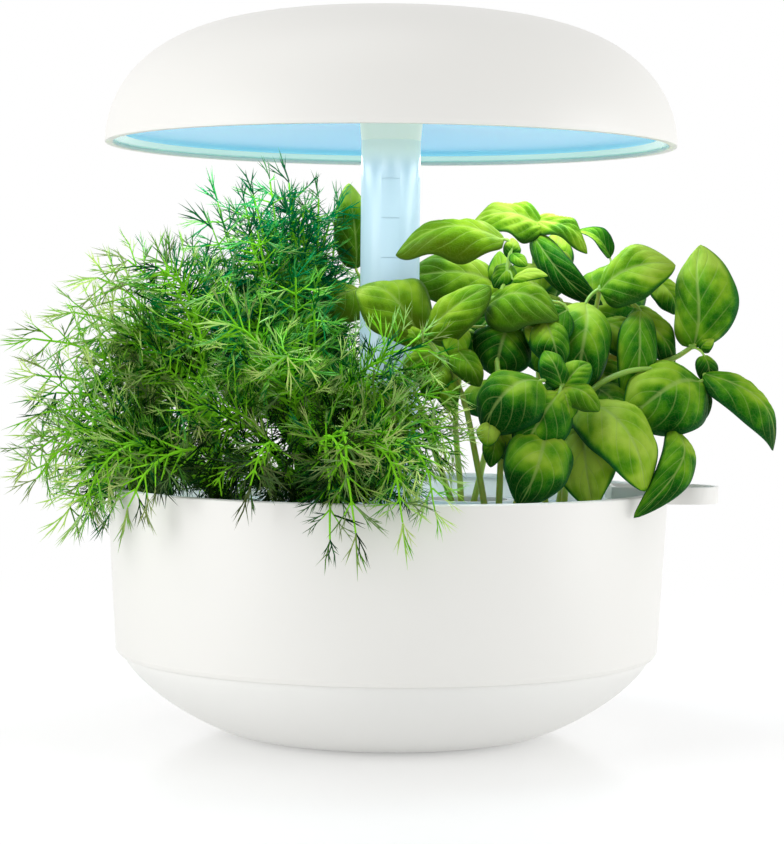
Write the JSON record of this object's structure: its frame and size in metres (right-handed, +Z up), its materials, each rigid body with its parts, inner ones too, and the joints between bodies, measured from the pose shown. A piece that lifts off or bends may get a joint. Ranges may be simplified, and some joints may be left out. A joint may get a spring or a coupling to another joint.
{
  "type": "countertop hydroponic garden",
  "caption": "Round white water bowl with a lift-out planting tray of herbs under a domed grow lamp on a stacked column.",
  "frame": {"origin": "centre of the face that the foot ring stands on", "axes": "+Z up; the pour lip points along +X and the power inlet along +Y"},
  "size_m": [0.4242, 0.3626, 0.4022],
  "materials": {
    "shell_white": "satin white moulding",
    "vessel_white": "gloss white moulding",
    "foot_rubber": "matt",
    "tray_white": "satin",
    "column_clear": "frosted, lit from within",
    "screw_steel": "plated",
    "contact_brass": "plated",
    "float_orange": "matt",
    "tube_clear": "clear",
    "pump_dark": "moulded",
    "stator_copper": "lacquered coils",
    "foam_grey": "open cell foam",
    "lead_black": "sheath",
    "lead_white": "sheath",
    "impeller_grey": "moulded",
    "magnet_ferrite": "sintered",
    "shaft_ceramic": "ceramic",
    "cup_white": "moulded",
    "plug_brown": "peat and fibre",
    "basil_green": "fresh leaf",
    "dill_green": "fresh frond",
    "panel_blue": "gloss, lit from behind",
    "reflector_chrome": "metallised",
    "plate_aluminium": "as rolled",
    "board_white": "solder mask",
    "led_white": "lens",
    "led_red": "lens",
    "led_blue": "lens",
    "board_green": "solder mask",
    "button_grey": "satin"
  },
  "bodies": {
    "bowl": {"reservoir_bowl": "vessel_white", "bowl_skirt": "shell_white", "foot_ring": "foot_rubber"},
    "tray": {"grow_tray": "tray_white", "column_post": "column_clear", "post_screws": "screw_steel", "base_contacts": "contact_brass", "pour_lip": "shell_white", "float_guide": "tray_white", "water_manifold": "tray_white", "riser_tube": "tube_clear", "pump_hanger": "tray_white", "pump_housing": "pump_dark", "pump_cover": "pump_dark", "pump_stator": "stator_copper", "pump_strainer": "pump_dark", "filter_foam": "foam_grey", "pump_lead": "lead_black", "power_lead": "lead_white", "dc_inlet": "shell_white", "capsule_cup_1": "cup_white", "capsule_cup_2": "cup_white", "capsule_cup_3": "cup_white", "capsule_cup_4": "cup_white", "capsule_cup_5": "cup_white", "capsule_cup_6": "cup_white", "growing_plug_1": "plug_brown", "growing_plug_2": "plug_brown", "growing_plug_3": "plug_brown", "growing_plug_4": "plug_brown", "growing_plug_5": "plug_brown", "growing_plug_6": "plug_brown", "basil_plant_1": "basil_green", "basil_plant_2": "basil_green", "basil_plant_3": "basil_green", "dill_plant_1": "dill_green", "dill_plant_2": "dill_green", "dill_plant_3": "dill_green"},
    "float": {"level_float": "float_orange"},
    "rotor": {"impeller": "impeller_grey", "rotor_magnet": "magnet_ferrite", "rotor_shaft": "shaft_ceramic"},
    "lower_adapter": {"lower_adapter": "column_clear", "lower_adapter_contacts": "contact_brass"},
    "upper_adapter": {"upper_adapter": "column_clear", "upper_adapter_contacts": "contact_brass"},
    "lamp": {"lamp_dome": "shell_white", "panel_ring": "reflector_chrome", "light_panel": "panel_blue", "lamp_socket": "column_clear", "heat_plate": "plate_aluminium", "led_board": "board_white", "leds_white": "led_white", "leds_red": "led_red", "leds_blue": "led_blue", "lamp_screws": "screw_steel", "control_board": "board_green", "lamp_contacts": "contact_brass"},
    "button": {"mode_button": "button_grey"}
  },
  "joints": [
    {"name": "tray_lift", "type": "slide", "parent": "bowl", "child": "tray", "axis": [0, 0, 1], "range_m": [0, 0.12]},
    {"name": "float_rise", "type": "slide", "parent": "tray", "child": "float", "axis": [0, 0, 1], "range_m": [0, 0.025]},
    {"name": "rotor_spin", "type": "hinge", "parent": "tray", "child": "rotor", "pos_m": [0, 0, 0.03], "axis": [0, 0, 1], "continuous": true},
    {"name": "lower_adapter_lift", "type": "slide", "parent": "tray", "child": "lower_adapter", "axis": [0, 0, 1], "range_m": [0, 0.03]},
    {"name": "upper_adapter_lift", "type": "slide", "parent": "lower_adapter", "child": "upper_adapter", "axis": [0, 0, 1], "range_m": [0, 0.03]},
    {"name": "lamp_lift", "type": "slide", "parent": "upper_adapter", "child": "lamp", "axis": [0, 0, 1], "range_m": [0, 0.03]},
    {"name": "button_press", "type": "slide", "parent": "lamp", "child": "button", "axis": [0, 0, 1], "range_m": [-0.0006, 0], "stiffness_N_per_m": 1500}
  ]
}
